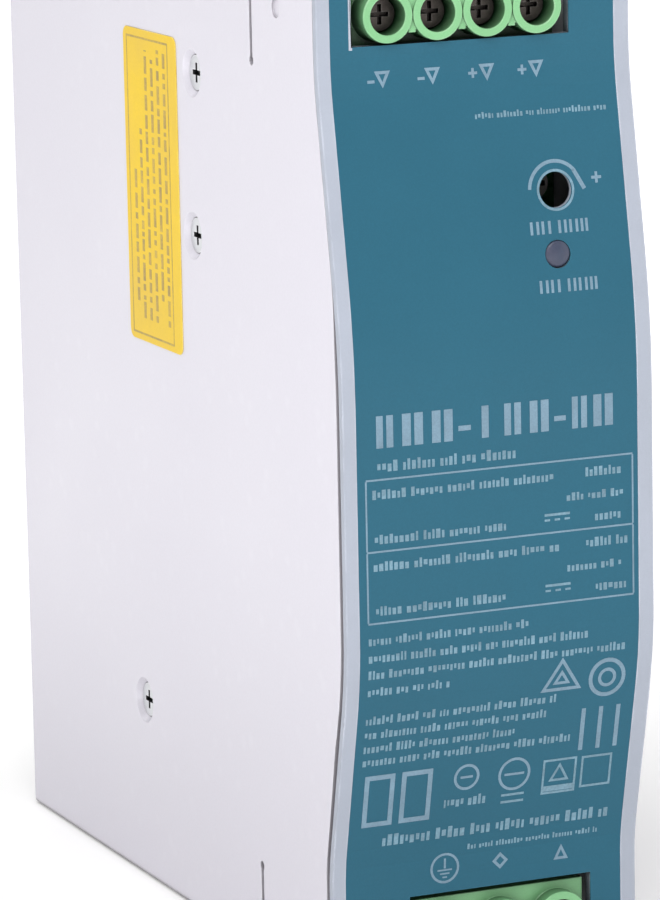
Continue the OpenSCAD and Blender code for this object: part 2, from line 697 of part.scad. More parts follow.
// Round wire swept along a helix between its two ends
spring_turns = 9;
spring_sides = 8;
spring_rings = spring_turns * 14;
module latch_spring() color("#d0d2d6") {
    rise = spring_z[1] - spring_z[0] - 2 * spring_wire_r - 0.02;
    ring_points = [
        for (i = [0:spring_rings]) let (
            t = i / spring_rings,
            a = 360 * spring_turns * t
        ) for (k = [0:spring_sides - 1]) let (
            b = 360 * k / spring_sides,
            r = spring_coil_r + spring_wire_r * cos(b)
        ) [r * cos(a), (latch_y[0] + latch_y[1]) / 2 + r * sin(a),
           spring_z[0] + 0.01 + spring_wire_r + rise * t + spring_wire_r * sin(b)]
    ];
    faces = concat(
        [[for (k = [0:spring_sides - 1]) k]],
        [for (i = [0:spring_rings - 1], k = [0:spring_sides - 1]) let (
            a = i * spring_sides + k,
            b = i * spring_sides + (k + 1) % spring_sides
        ) [b, a, a + spring_sides, b + spring_sides]],
        [[for (k = [spring_sides - 1:-1:0]) spring_rings * spring_sides + k]]);
    polyhedron(ring_points, faces);
}

// ---- Nodes ----

chassis_shell();
side_cover();
cover_screws();
front_panel();
front_label();
side_label();
output_terminal_body();
output_screw(1);  // output_screw_1
output_screw(2);  // output_screw_2
output_screw(3);  // output_screw_3
output_screw(4);  // output_screw_4
output_cage(1);  // output_cage_1
output_cage(2);  // output_cage_2
output_cage(3);  // output_cage_3
output_cage(4);  // output_cage_4
output_contacts();
input_terminal_body();
input_screw(1);  // input_screw_1
input_screw(2);  // input_screw_2
input_screw(3);  // input_screw_3
input_cage(1);  // input_cage_1
input_cage(2);  // input_cage_2
input_cage(3);  // input_cage_3
input_contacts();
adjust_pot_body();
adjust_pot_rotor();
status_led();
led_holder();
output_board();
input_board();
panel_screws();
main_board();
board_screws();
primary_heatsink();
secondary_heatsink();
heatsink_screws();
thermal_pads();
switching_transistors();
output_rectifiers();
bridge_rectifier();
transformer_core();
transformer_bobbin();
transformer_winding();
bulk_capacitor();
output_capacitors();
output_choke();
common_mode_choke();
x_capacitor();
fuse();
fuse_clips();
varistor();
thermistor();
y_capacitors();
control_board();
insulation_sheet();
rail_bracket();
bracket_screws();
rail_latch();
latch_spring();
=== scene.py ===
import json
import math
import random

import bmesh
import bpy
from mathutils import Matrix, Vector
from mathutils.bvhtree import BVHTree

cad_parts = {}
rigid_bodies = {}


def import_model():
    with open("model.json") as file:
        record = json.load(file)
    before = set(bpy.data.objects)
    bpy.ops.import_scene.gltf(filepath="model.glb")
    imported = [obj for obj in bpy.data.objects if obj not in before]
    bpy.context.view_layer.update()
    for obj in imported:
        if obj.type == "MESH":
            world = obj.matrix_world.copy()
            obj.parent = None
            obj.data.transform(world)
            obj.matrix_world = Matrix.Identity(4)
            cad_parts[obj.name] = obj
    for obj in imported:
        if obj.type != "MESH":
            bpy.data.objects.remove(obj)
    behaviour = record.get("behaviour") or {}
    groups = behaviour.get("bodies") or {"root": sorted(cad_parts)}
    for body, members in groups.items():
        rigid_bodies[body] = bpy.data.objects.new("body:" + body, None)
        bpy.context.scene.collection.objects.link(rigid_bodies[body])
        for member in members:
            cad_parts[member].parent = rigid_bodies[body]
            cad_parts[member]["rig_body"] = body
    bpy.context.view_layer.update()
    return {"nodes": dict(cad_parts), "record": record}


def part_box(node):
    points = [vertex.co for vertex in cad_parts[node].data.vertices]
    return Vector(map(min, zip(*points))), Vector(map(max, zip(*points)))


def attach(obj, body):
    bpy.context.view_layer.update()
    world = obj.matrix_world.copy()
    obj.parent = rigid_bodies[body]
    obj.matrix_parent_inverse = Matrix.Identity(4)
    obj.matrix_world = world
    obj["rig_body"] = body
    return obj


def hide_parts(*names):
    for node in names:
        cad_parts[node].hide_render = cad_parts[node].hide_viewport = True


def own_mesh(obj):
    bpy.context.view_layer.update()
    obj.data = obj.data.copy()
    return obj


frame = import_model()
nodes = frame["nodes"]
MM = 0.001
scene = bpy.context.scene
scene.view_settings.view_transform = "Standard"

# ---- Camera ----

CAMERA_AT = Vector((-0.25109, -0.58749, 0.18))
AZIMUTH, ELEVATION, ROLL = (math.radians(a) for a in (23.38, 10.997, -1.1617))
LENS_MM, SENSOR_MM = 204.7, 36
CLIP = (0.01, 50)


def make_camera():
    back = Vector((-math.sin(AZIMUTH) * math.cos(ELEVATION),
                   -math.cos(AZIMUTH) * math.cos(ELEVATION), math.sin(ELEVATION)))
    right = (-back).cross(Vector((0, 0, 1))).normalized()
    up = right.cross(-back)
    across = math.cos(ROLL) * right + math.sin(ROLL) * up
    upward = math.cos(ROLL) * up - math.sin(ROLL) * right
    data = bpy.data.cameras.new("camera")
    data.lens, data.sensor_width, data.sensor_fit = LENS_MM, SENSOR_MM, "AUTO"
    data.clip_start, data.clip_end = CLIP
    obj = bpy.data.objects.new("camera", data)
    scene.collection.objects.link(obj)
    obj.matrix_world = (Matrix.Translation(CAMERA_AT)
                        @ Matrix((across, upward, back)).transposed().to_4x4())
    scene.camera = obj


make_camera()

# ---- Materials ----


class Nodes:
    """A short way to write a node tree."""

    def __init__(self, tree):
        self.tree = tree

    def add(self, kind, inputs=None, **settings):
        node = self.tree.nodes.new("ShaderNode" + kind)
        for key, value in settings.items():
            setattr(node, key, value)
        for key, value in (inputs or {}).items():
            if isinstance(value, bpy.types.NodeSocket):
                self.tree.links.new(value, node.inputs[key])
            else:
                node.inputs[key].default_value = value
        return node

    def link(self, out, into):
        self.tree.links.new(out, into)

    def remap(self, value, low, high, start=0.0, end=1.0):
        """Carries value from start..end over to low..high."""
        node = self.add("MapRange", {"Value": value, "From Min": start, "From Max": end,
                                     "To Min": low, "To Max": high})
        return node.outputs["Result"]

    def times(self, a, b):
        return self.add("Math", {0: a, 1: b}, operation="MULTIPLY").outputs[0]

    def mix(self, factor, a, b):
        node = self.add("Mix", {"Factor": factor}, data_type="RGBA")
        for socket, value in ((node.inputs[6], a), (node.inputs[7], b)):
            if isinstance(value, bpy.types.NodeSocket):
                self.link(value, socket)
            else:
                socket.default_value = value
        return node.outputs[2]


def rgba(colour, gain=1.0):
    return tuple(min(1.0, c * gain) for c in colour) + (1.0,)


def finish_of(name, colour, rough, metallic=0.0, vary=0.07, cloud=45.0, grain=0.05,
              grain_size=0.3, bump=0.12, depth=0.02, stretch=(1, 1, 1), wear=None,
              wear_radius=0.25, bands=None, speck=None, tint=None, coat=0.0,
              transmission=0.0, specular=0.5, anisotropic=0.0, deep=None):
    """A procedural finish. cloud is the number of soft patches in a metre; sizes are in mm.
    wear is the lighter colour along edges, partly edge wear and partly a painted
    highlight; bands is (axis, pitch, bump) for layers or turns, with painted shade in the
    grooves between them; speck is (colour, size, share) for flecks; tint is a second colour in
    the clouds;
    deep is (colour, reach) for painted shade in recesses."""
    mat = bpy.data.materials.new(name)
    mat.use_nodes = True
    tree = Nodes(mat.node_tree)
    shader = mat.node_tree.nodes["Principled BSDF"]
    shader.inputs["Metallic"].default_value = metallic
    shader.inputs["Coat Weight"].default_value = coat
    shader.inputs["Coat Roughness"].default_value = 0.15
    shader.inputs["Transmission Weight"].default_value = transmission
    shader.inputs["Specular IOR Level"].default_value = specular
    shader.inputs["Anisotropic"].default_value = anisotropic
    where = tree.add("TexCoord").outputs["Object"]
    soft = tree.add("TexNoise", {"Vector": where, "Scale": cloud, "Detail": 4.0,
                                 "Roughness": 0.6})
    drawn = tree.add("Mapping", {"Vector": where, "Scale": stretch}).outputs["Vector"]
    fine = tree.add("TexNoise", {"Vector": drawn, "Scale": 1 / (grain_size * MM),
                                 "Detail": 3.0, "Roughness": 0.55})
    patches = tree.remap(soft.outputs["Fac"], 0.0, 1.0, 0.3, 0.7)
    base = tree.mix(patches, rgba(colour, 1 - vary),
                    rgba(tint, 1 + vary) if tint else rgba(colour, 1 + vary))
    grains = tree.remap(fine.outputs["Fac"], 1 - grain, 1 + grain, 0.25, 0.75)
    shade = tree.add("VectorMath", {0: base}, operation="SCALE")
    tree.link(grains, shade.inputs["Scale"])
    base = shade.outputs["Vector"]
    height = fine.outputs["Fac"]
    if speck:
        fleck, size, share = speck
        cells = tree.add("TexVoronoi", {"Vector": where, "Scale": 1 / (size * MM)})
        one = tree.add("SeparateColor", {"Color": cells.outputs["Color"]}).outputs[0]
        chosen = tree.remap(one, 0.0, 1.0, 1 - share, 1 - share * 0.8)
        near = tree.remap(cells.outputs["Distance"], 1.0, 0.0, 0.1, 0.5)
        base = tree.mix(tree.times(chosen, near), base, rgba(fleck))
    if bands:
        axis, pitch, lift = bands
        wave = tree.add("TexWave", {"Vector": where, "Scale": 1 / (pitch * MM) / 3.2,
                                    "Distortion": 0.4, "Detail": 1.0},
                        bands_direction=axis)
        # Painted shade: the colour darkens in the grooves between turns, where the bump is
        # lowest
        base = tree.mix(tree.remap(wave.outputs["Fac"], 0.45, 0.0), base,
                        rgba(colour, 0.45))
        height = tree.add("Math", {0: tree.times(wave.outputs["Fac"], lift), 1: height},
                          operation="ADD").outputs[0]
    rub = tree.remap(soft.outputs["Fac"], -0.08, 0.08, 0.3, 0.7)
    rough_now = tree.add("Math", {0: rub, 1: rough}, operation="ADD").outputs[0]
    # Lighter colour along rounded edges: partly edge wear, partly a painted highlight
    if wear:
        rounded = tree.add("Bevel", {"Radius": wear_radius * MM}, samples=4)
        flat = tree.add("NewGeometry").outputs["Normal"]
        same = tree.add("VectorMath", {0: rounded.outputs["Normal"], 1: flat},
                        operation="DOT_PRODUCT").outputs["Value"]
        edge = tree.remap(same, 1.0, 0.0, 0.86, 0.985)
        patchy = tree.add("TexNoise", {"Vector": where, "Scale": 260.0, "Detail": 3.0})
        broken = tree.remap(patchy.outputs["Fac"], 0.15, 0.9, 0.4, 0.62)
        base = tree.mix(tree.times(edge, broken), base, rgba(wear))
    # Painted shade: the colour darkens towards the shadow colour in recesses, by ambient
    # occlusion within reach mm
    if deep:
        shadow, reach = deep
        open_share = tree.add("AmbientOcclusion", {"Distance": reach * MM}, samples=6)
        base = tree.mix(tree.remap(open_share.outputs["AO"], 1.0, 0.0, 0.15, 0.85), base,
                        rgba(shadow))
    tree.link(base, shader.inputs["Base Color"])
    tree.link(rough_now, shader.inputs["Roughness"])
    lifted = tree.add("Bump", {"Strength": bump, "Distance": depth * MM, "Height": height})
    tree.link(lifted.outputs["Normal"], shader.inputs["Normal"])
    return mat


CASE_COLOUR = (0.645, 0.628, 0.69)
TEAL = (0.0150, 0.104, 0.162)
finishes = {}


def slot_finish(name, *look, **more):
    finishes[name] = finish_of(name, *look, **more)


# Each edge colour below is partly edge wear and partly a painted highlight
# Each recess colour below is painted shade laid into hollows and gaps
slot_finish("case_metal", CASE_COLOUR, 0.42, 0.25, vary=0.022, cloud=22, grain=0.018,
            grain_size=0.35, bump=0.10, depth=0.012, wear=(0.88, 0.87, 0.92), wear_radius=0.3,
            speck=((0.66, 0.645, 0.705), 2.4, 0.16), deep=((0.10, 0.085, 0.095), 1.6))
slot_finish("panel_plastic", (0.355, 0.385, 0.455), 0.44, vary=0.05, cloud=60, grain=0.03,
            grain_size=0.18, bump=0.25, depth=0.02, wear=(0.62, 0.65, 0.74), wear_radius=0.35,
            deep=((0.018, 0.024, 0.03), 3.6))
slot_finish("label_film", TEAL, 0.48, vary=0.05, cloud=28, grain=0.06, grain_size=0.22, bump=0.3,
            depth=0.012, specular=0.28, wear=(0.05, 0.20, 0.28), wear_radius=0.15)
slot_finish("label_yellow", (0.72, 0.475, 0.004), 0.4, vary=0.05, cloud=50, grain=0.04,
            grain_size=0.25, bump=0.15, depth=0.01, tint=(0.76, 0.52, 0.006), specular=0.22,
            wear=(0.95, 0.86, 0.5), wear_radius=0.12)
slot_finish("terminal_green", (0.20, 0.47, 0.22), 0.36, vary=0.08, cloud=90, grain=0.05,
            grain_size=0.2, bump=0.2, depth=0.02, wear=(0.46, 0.68, 0.46), wear_radius=0.3,
            deep=((0.004, 0.022, 0.008), 8.0))
slot_finish("terminal_screw_steel", (0.13, 0.11, 0.10), 0.36, 0.9, vary=0.35, cloud=620,
            grain=0.2, grain_size=0.12, stretch=(1, 1, 6), bump=0.4, depth=0.03,
            wear=(0.42, 0.40, 0.38), deep=((0.012, 0.01, 0.01), 3.0))
slot_finish("clamp_brass", (0.66, 0.55, 0.32), 0.34, 0.95, vary=0.1, cloud=180, grain=0.1,
            grain_size=0.12, stretch=(1, 5, 1), bump=0.25, depth=0.015, wear=(0.85, 0.75, 0.5))
slot_finish("contact_tin", (0.68, 0.66, 0.61), 0.36, 0.95, vary=0.08, cloud=200, grain=0.08,
            grain_size=0.15, bump=0.2, wear=(0.85, 0.8, 0.72))
slot_finish("fastener_zinc", (0.60, 0.61, 0.63), 0.34, 0.95, vary=0.1, cloud=300, grain=0.08,
            grain_size=0.12, stretch=(4, 1, 1), bump=0.3, depth=0.015, wear=(0.86, 0.86, 0.88),
            deep=((0.02, 0.02, 0.024), 2.6))
slot_finish("pot_blue", (0.03, 0.11, 0.36), 0.42, cloud=120, bump=0.2, wear=(0.12, 0.25, 0.5),
            deep=((0.003, 0.004, 0.008), 7.0))
# The rotor is white; its colour is dulled to grey as painted shade for its place deep in the
# adjuster's hole
slot_finish("pot_rotor_white", (0.42, 0.40, 0.37), 0.5, cloud=150, bump=0.2,
            wear=(0.6, 0.58, 0.54), specular=0.2, deep=((0.004, 0.004, 0.005), 7.0))
slot_finish("led_lens", (0.034, 0.052, 0.096), 0.36, vary=0.12, cloud=300, grain=0.08, bump=0.12,
            specular=0.4, tint=(0.050, 0.054, 0.088), wear=(0.14, 0.13, 0.17))
slot_finish("black_nylon", (0.022, 0.022, 0.024), 0.46, vary=0.15, bump=0.3,
            wear=(0.08, 0.08, 0.085))
slot_finish("board_green", (0.022, 0.14, 0.045), 0.30, vary=0.18, cloud=260, grain=0.1,
            grain_size=0.6, bump=0.3, depth=0.03, tint=(0.04, 0.2, 0.07), coat=0.3,
            speck=((0.55, 0.5, 0.4), 2.2, 0.12))
slot_finish("heatsink_aluminium", (0.58, 0.59, 0.61), 0.36, 0.95, vary=0.05, cloud=70, grain=0.1,
            grain_size=0.14, stretch=(1, 1, 0.04), bump=0.35, depth=0.02, anisotropic=0.4,
            wear=(0.82, 0.82, 0.84))
slot_finish("thermal_pad_blue", (0.30, 0.43, 0.58), 0.7, vary=0.06, grain=0.12, grain_size=0.4,
            bump=0.5, depth=0.05)
slot_finish("package_black", (0.018, 0.018, 0.02), 0.5, vary=0.15, grain=0.15, grain_size=0.12,
            bump=0.5, depth=0.02, wear=(0.07, 0.07, 0.07))
slot_finish("ferrite", (0.04, 0.038, 0.042), 0.55, vary=0.15, grain=0.2, grain_size=0.25,
            bump=0.6, depth=0.04, wear=(0.13, 0.13, 0.13))
slot_finish("bobbin_cream", (0.66, 0.60, 0.45), 0.5, vary=0.06, bump=0.25,
            wear=(0.8, 0.75, 0.62))
slot_finish("winding_taped", (0.72, 0.47, 0.05), 0.34, vary=0.08, bump=0.5, depth=0.08,
            bands=("Z", 0.9, 2.0), coat=0.3)
slot_finish("can_blue", (0.022, 0.05, 0.13), 0.24, vary=0.1, bump=0.1, coat=0.4,
            wear=(0.2, 0.22, 0.28))
slot_finish("can_green", (0.045, 0.09, 0.04), 0.26, vary=0.1, bump=0.1, coat=0.4,
            wear=(0.2, 0.24, 0.18))
slot_finish("choke_copper", (0.56, 0.20, 0.06), 0.26, 0.85, vary=0.1, bump=0.6, depth=0.15,
            bands=("Z", 1.1, 2.5))
slot_finish("film_capacitor_grey", (0.50, 0.46, 0.36), 0.42, vary=0.06, bump=0.2,
            wear=(0.7, 0.66, 0.55))
slot_finish("fuse_glass", (0.84, 0.87, 0.88), 0.08, vary=0.02, bump=0.02, transmission=0.75)
slot_finish("disc_blue", (0.035, 0.16, 0.42), 0.32, vary=0.1, bump=0.4, grain_size=0.8,
            depth=0.06, wear=(0.12, 0.28, 0.52))
slot_finish("disc_green", (0.035, 0.055, 0.035), 0.45, vary=0.15, bump=0.5, grain_size=0.7,
            depth=0.06, wear=(0.1, 0.13, 0.1))
slot_finish("insulation_film", (0.76, 0.73, 0.64), 0.36, vary=0.04, cloud=30, bump=0.15,
            depth=0.05, grain_size=3.0)
slot_finish("bracket_zinc", (0.60, 0.605, 0.625), 0.42, 0.85, vary=0.07, cloud=60, grain=0.08,
            grain_size=0.5, bump=0.35, depth=0.03, wear=(0.84, 0.84, 0.86), wear_radius=0.35,
            speck=((0.7, 0.7, 0.73), 1.8, 0.25))
slot_finish("latch_steel", (0.40, 0.41, 0.43), 0.36, 0.92, vary=0.08, cloud=90, grain=0.1,
            grain_size=0.2, stretch=(1, 1, 0.1), bump=0.3, depth=0.02, anisotropic=0.3,
            wear=(0.75, 0.75, 0.77), wear_radius=0.3)
slot_finish("spring_steel", (0.62, 0.63, 0.65), 0.22, 1.0, vary=0.05, cloud=300, bump=0.1,
            wear=(0.8, 0.8, 0.82))
ink = finish_of("ink_pale", (0.158, 0.258, 0.34), 0.5, vary=0.12, cloud=320, grain=0.12,
                grain_size=0.25, bump=0.2)
ink_small = finish_of("ink_soft", (0.145, 0.26, 0.335), 0.5, vary=0.2, cloud=380,
                      grain=0.2, grain_size=0.3, bump=0.2)
ink_dark = finish_of("ink_dark", (0.42, 0.28, 0.045), 0.5, vary=0.3, cloud=420,
                     grain=0.2, grain_size=0.3, bump=0.2)

# ---- Pieces made from the frame's solids, with rounded edges ----


def bare_copy(node):
    """The node's surface as a bmesh, its flat faces whole and its corners shared."""
    source = nodes[node].data
    bm = bmesh.new()
    at = [bm.verts.new(v.co) for v in source.vertices]
    for polygon in source.polygons:
        try:
            bm.faces.new([at[i] for i in polygon.vertices])
        except ValueError:
            pass
    bmesh.ops.remove_doubles(bm, verts=bm.verts, dist=2e-7)
    bmesh.ops.dissolve_degenerate(bm, edges=bm.edges, dist=1e-7)
    bmesh.ops.dissolve_limit(bm, angle_limit=math.radians(0.12), verts=bm.verts,
                             edges=bm.edges)
    bmesh.ops.recalc_face_normals(bm, faces=bm.faces)
    return bm


def body_of(node):
    return nodes[node]["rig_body"]


def slot_of(node):
    for part in frame["record"]["subparts"]:
        if part["node"] == node:
            return part["material_slot"]


def add_piece(name, mesh, material, body, slot, *stands_for):
    obj = bpy.data.objects.new(name, mesh)
    scene.collection.objects.link(obj)
    mesh.materials.clear()
    mesh.materials.append(material)
    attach(obj, body)
    if stands_for:
        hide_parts(*stands_for)
    return obj


def rounded(node, name, width, segments=2, angle=34, main=None):
    """A piece that stands for a node, with its sharp edges rounded by width (mm).
    main is (which edges, width, segments) for a larger round, made first."""
    bm = bare_copy(node)
    if main:
        which, main_width, main_segments = main
        chosen = [e for e in bm.edges if which(e)]
        bmesh.ops.bevel(bm, geom=chosen, offset=main_width * MM, offset_type="OFFSET",
                        segments=main_segments, profile=0.5, affect="EDGES",
                        clamp_overlap=True)
    mesh = bpy.data.meshes.new(name)
    bm.to_mesh(mesh)
    bm.free()
    mesh.shade_smooth()
    mesh.set_sharp_from_angle(angle=math.radians(angle))
    draft = bpy.data.objects.new(name + "_draft", mesh)
    scene.collection.objects.link(draft)
    bevel = draft.modifiers.new("edges", "BEVEL")
    bevel.width, bevel.segments = width * MM, segments
    bevel.limit_method, bevel.angle_limit = "ANGLE", math.radians(angle)
    bevel.use_clamp_overlap = False
    bevel.harden_normals = True
    bpy.context.view_layer.update()
    done = bpy.data.meshes.new_from_object(
        draft.evaluated_get(bpy.context.evaluated_depsgraph_get()))
    done.name = name
    bpy.data.objects.remove(draft)
    slot = slot_of(node)
    return add_piece(name, done, finishes[slot], body_of(node), slot, node)


panel_low, panel_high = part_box("front_panel")


NEAR = 2e-5
FRONT_BEYOND_Y = -0.048


def long_front_edge(side):
    """Picks the edges that run up the front profile at one outer side."""
    def pick(edge):
        a, b = (v.co for v in edge.verts)
        return (min(side * a.x, side * b.x) > abs(panel_high.x) - NEAR
                and max(a.y, b.y) < FRONT_BEYOND_Y
                and abs(a.z - b.z) > 5 * abs(a.y - b.y)
                and edge.is_manifold and edge.calc_face_angle(0) > 1.0
                and min(f.normal.y for f in edge.link_faces) < -0.7)
    return pick


def either_front_edge(edge):
    return long_front_edge(1)(edge) or long_front_edge(-1)(edge)


rounded("chassis_shell", "case_shell", 0.08, main=(either_front_edge, 0.3, 3))
rounded("side_cover", "case_cover", 0.08, main=(either_front_edge, 0.3, 3))
rounded("front_panel", "panel_frame", 0.07, main=(either_front_edge, 0.5, 4))
rounded("output_terminal_body", "output_block", 0.14, segments=3)
rounded("input_terminal_body", "input_block", 0.14, segments=3)
rounded("rail_bracket", "rail_hooks", 0.18, segments=3)
rounded("rail_latch", "latch_slider", 0.18, segments=3)
rounded("side_label", "yellow_sticker", 0.02)
rounded("status_led", "status_light", 0.08)
rounded("adjust_pot_rotor", "adjuster_rotor", 0.08)
rounded("adjust_pot_body", "adjuster_body", 0.12)
rounded("cover_screws", "cover_screw_set", 0.05)
rounded("heatsink_screws", "side_screw_set", 0.05)
rounded("bracket_screws", "bracket_screw_set", 0.05)
for kind, count in (("output", 4), ("input", 3)):
    for number in range(1, count + 1):
        rounded(f"{kind}_screw_{number}", f"{kind}_clamp_screw_{number}", 0.06)
        rounded(f"{kind}_cage_{number}", f"{kind}_clamp_{number}", 0.08)
for node in nodes:
    if not nodes[node].hide_render:
        nodes[node].data.materials.clear()
        nodes[node].data.materials.append(finishes[slot_of(node)])

# ---- Spring behind the latch ----

SPRING_TURNS, WIRE_R, WIRE_SIDES, TURN_STEPS = 9, 0.2 * MM, 10, 40
spring_low, spring_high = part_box("latch_spring")


def spring_mesh():
    middle = (spring_low + spring_high) / 2
    coil_r = (spring_high.x - spring_low.x) / 2 - WIRE_R
    steps = SPRING_TURNS * TURN_STEPS
    z0, z1 = spring_low.z + WIRE_R, spring_high.z - WIRE_R
    bm = bmesh.new()
    rings = []
    for step in range(steps + 1):
        # The first and last turns lie closed against their neighbours
        share = step / steps
        eased = share - 0.45 * math.sin(2 * math.pi * share) / (2 * math.pi)
        turn = 2 * math.pi * SPRING_TURNS * share
        out = Vector((math.cos(turn), math.sin(turn), 0))
        centre = Vector((middle.x, middle.y, z0 + (z1 - z0) * eased)) + coil_r * out
        rings.append([bm.verts.new(centre + WIRE_R * (math.cos(a) * out
                                                      + math.sin(a) * Vector((0, 0, 1))))
                      for a in (2 * math.pi * k / WIRE_SIDES for k in range(WIRE_SIDES))])
    for lower, upper in zip(rings, rings[1:]):
        for k in range(WIRE_SIDES):
            bm.faces.new((lower[k], lower[k - 1], upper[k - 1], upper[k]))
    bm.faces.new(rings[0])
    bm.faces.new(rings[-1])
    bmesh.ops.recalc_face_normals(bm, faces=bm.faces)
    mesh = bpy.data.meshes.new("spring_wire")
    bm.to_mesh(mesh)
    bm.free()
    mesh.shade_smooth()
    return mesh


spring = add_piece("spring_wire", spring_mesh(), finishes["spring_steel"], "case",
                   "spring_steel", "latch_spring")
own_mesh(spring)

# ---- Printing ----


def steps_between(start, end, most):
    count = max(1, math.ceil(abs(end - start) / most))
    return [start + (end - start) * i / count for i in range(count + 1)]


class Print:
    """Thin closed pieces of ink on a surface. Positions and widths are in mm along it."""

    def __init__(self, place, proud=0.022, sunk=0.012, step=1.2):
        self.bm = bmesh.new()
        self.place, self.proud, self.sunk, self.step = place, proud, sunk, step

    def sheet(self, rows, closed=False):
        """A slab over a grid of points; closed joins its last row to its first."""
        tops = [[self.bm.verts.new(self.place(u, v, self.proud)) for u, v in row]
                for row in rows]
        backs = [[self.bm.verts.new(self.place(u, v, -self.sunk)) for u, v in row]
                 for row in rows]
        if closed:
            tops.append(tops[0])
            backs.append(backs[0])
        new = self.bm.faces.new
        for r in range(len(tops) - 1):
            for c in range(len(tops[0]) - 1):
                new((tops[r][c], tops[r][c + 1], tops[r + 1][c + 1], tops[r + 1][c]))
                new((backs[r][c], backs[r + 1][c], backs[r + 1][c + 1], backs[r][c + 1]))
            for c, turn in ((0, 1), (-1, -1)):
                new((tops[r][c], tops[r + 1][c], backs[r + 1][c], backs[r][c])[::turn])
        if not closed:
            for r, turn in ((0, -1), (-1, 1)):
                for c in range(len(tops[0]) - 1):
                    new((tops[r][c], tops[r][c + 1],
                         backs[r][c + 1], backs[r][c])[::turn])

    def block(self, u, v):
        self.sheet([[(u[0], w), (u[1], w)] for w in steps_between(v[0], v[1], self.step)])

    def stroke(self, points, width, closed=False):
        fine = []
        ends = points + [points[0]] if closed else points
        for (u0, v0), (u1, v1) in zip(ends, ends[1:]):
            parts = steps_between(0, 1, self.step / max(1e-6, math.hypot(u1 - u0, v1 - v0)))
            fine += [(u0 + (u1 - u0) * t, v0 + (v1 - v0) * t) for t in parts[:-1]]
        if not closed:
            fine.append(points[-1])
        rows = []
        for i, (u, v) in enumerate(fine):
            before = fine[i - 1] if closed or i else fine[i]
            after = fine[(i + 1) % len(fine)] if closed or i < len(fine) - 1 else fine[i]
            into, out = (Vector((u - before[0], v - before[1])),
                         Vector((after[0] - u, after[1] - v)))
            along = (into.normalized() + out.normalized()).normalized()
            bend = max(0.5, along.dot((out if out.length > 1e-9 else into).normalized()))
            across = Vector((-along.y, along.x)) * width / 2 / bend
            rows.append([(u - across.x, v - across.y), (u + across.x, v + across.y)])
        self.sheet(rows, closed)

    def ring(self, u, v, r, width, start=0, end=360, steps=28):
        whole = end - start >= 360
        angles = [math.radians(start + (end - start) * i / steps)
                  for i in range(steps if whole else steps + 1)]
        self.stroke([(u + r * math.cos(a), v + r * math.sin(a)) for a in angles], width,
                    whole)

    def plus(self, u, v, size, width, minus=False):
        self.block((u - size / 2, u + size / 2), (v - width / 2, v + width / 2))
        if not minus:
            self.block((u - width / 2, u + width / 2), (v + width / 2, v + size / 2))
            self.block((u - width / 2, u + width / 2), (v - size / 2, v - width / 2))

    def ticks(self, u, v, height, draw, mark=0.42, gap=0.2):
        """A line of small upright marks in groups, standing in for small print."""
        at, left = u[0], draw.randint(3, 9)
        while at + mark < u[1]:
            wide = mark * draw.uniform(0.55, 1.1)
            low, high = draw.choice(((0, 0.7), (0, 0.7), (0, 1), (0.2, 0.75), (0, 0.8)))
            self.block((at, at + wide), (v + low * height, v + high * height))
            at += wide + gap
            left -= 1
            if not left:
                at += mark
                left = draw.randint(3, 9)

    def piece(self, name, material, slot):
        bmesh.ops.recalc_face_normals(self.bm, faces=self.bm.faces)
        mesh = bpy.data.meshes.new(name)
        self.bm.to_mesh(mesh)
        self.bm.free()
        return add_piece(name, mesh, material, "case", slot)


film_tree = BVHTree.FromPolygons([v.co for v in nodes["front_label"].data.vertices],
                                 [p.vertices for p in nodes["front_label"].data.polygons])
START_Y = panel_low.y - 0.01


def on_front(u, v, lift):
    """A point on the front film; u is to the right and v up from the bottom, in mm."""
    hit = film_tree.ray_cast(Vector((u * MM, START_Y, v * MM)), Vector((0, 1, 0)))[0]
    if hit is None:
        raise ValueError(f"no film at {u}, {v}")
    return Vector((u * MM, hit.y - lift * MM, v * MM))


sticker_low, sticker_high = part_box("side_label")


def on_sticker(u, v, lift):
    """A point on the side sticker; u is along Y and v up from the bottom, in mm."""
    return Vector((sticker_low.x - lift * MM, u * MM, v * MM))


# Places on the front are (x, z) from the middle of the bottom, in mm
draw = random.Random(41)
front = Print(on_front)
small = Print(on_front)
PRINT_SIDES = (-17.2, 17.3)


def middle_x(node):
    low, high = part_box(node)
    return (low.x + high.x) / 2 / MM


def box_outline(x0, x1, z0, z1):
    return [(x0, z0), (x1, z0), (x1, z1), (x0, z1)]


def print_polarity():
    """A sign and a small triangle under each output terminal."""
    negative_poles, half, top, tip = 2, 0.72, 110.1, 108.65
    for i, x in enumerate([middle_x(f"output_screw_{i}") for i in range(1, 5)]):
        if i < negative_poles:
            front.plus(x - 2.1, 109.1, 0.9, 0.34, minus=True)
        else:
            front.plus(x - 1.85, 109.3, 1.15, 0.32)
        at = x - (0.65 if i < negative_poles else 0.05)
        front.stroke([(at - half, top), (at + half, top), (at, tip)], 0.36, closed=True)
    small.ticks((-0.5, 16.9), 104.0, 0.75, draw, 0.3, 0.16)


def print_adjuster():
    """The arc, its tail and a plus round the adjuster, and two captions."""
    low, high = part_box("adjust_pot_rotor")
    x, z = (low.x + high.x) / 2 / MM, (low.z + high.z) / 2 / MM
    front.ring(x, z, 3.35, 0.42, 40, 176, 22)
    front.stroke([(x + 2.5, z + 2.2), (x + 3.75, z - 0.1)], 0.5)
    small.ring(x, z, 2.28, 0.3, steps=36)
    front.plus(x + 5.4, z + 1.1, 1.3, 0.34)
    bar, gap, space = 0.34, 0.33, 0.3
    for x0, z0, z1 in ((5.3, 90.2, 91.7), (5.9, 83.4, 84.9)):
        # Pairs of bars; a width of 0 is a space
        at = x0
        for wide in (1.15, 1.2, 0, 1.1, 1.15, 0.95):
            if wide:
                front.block((at, at + bar), (z0, z1))
                front.block((at + wide - bar, at + wide), (z0, z1))
            at += (wide or space) + gap


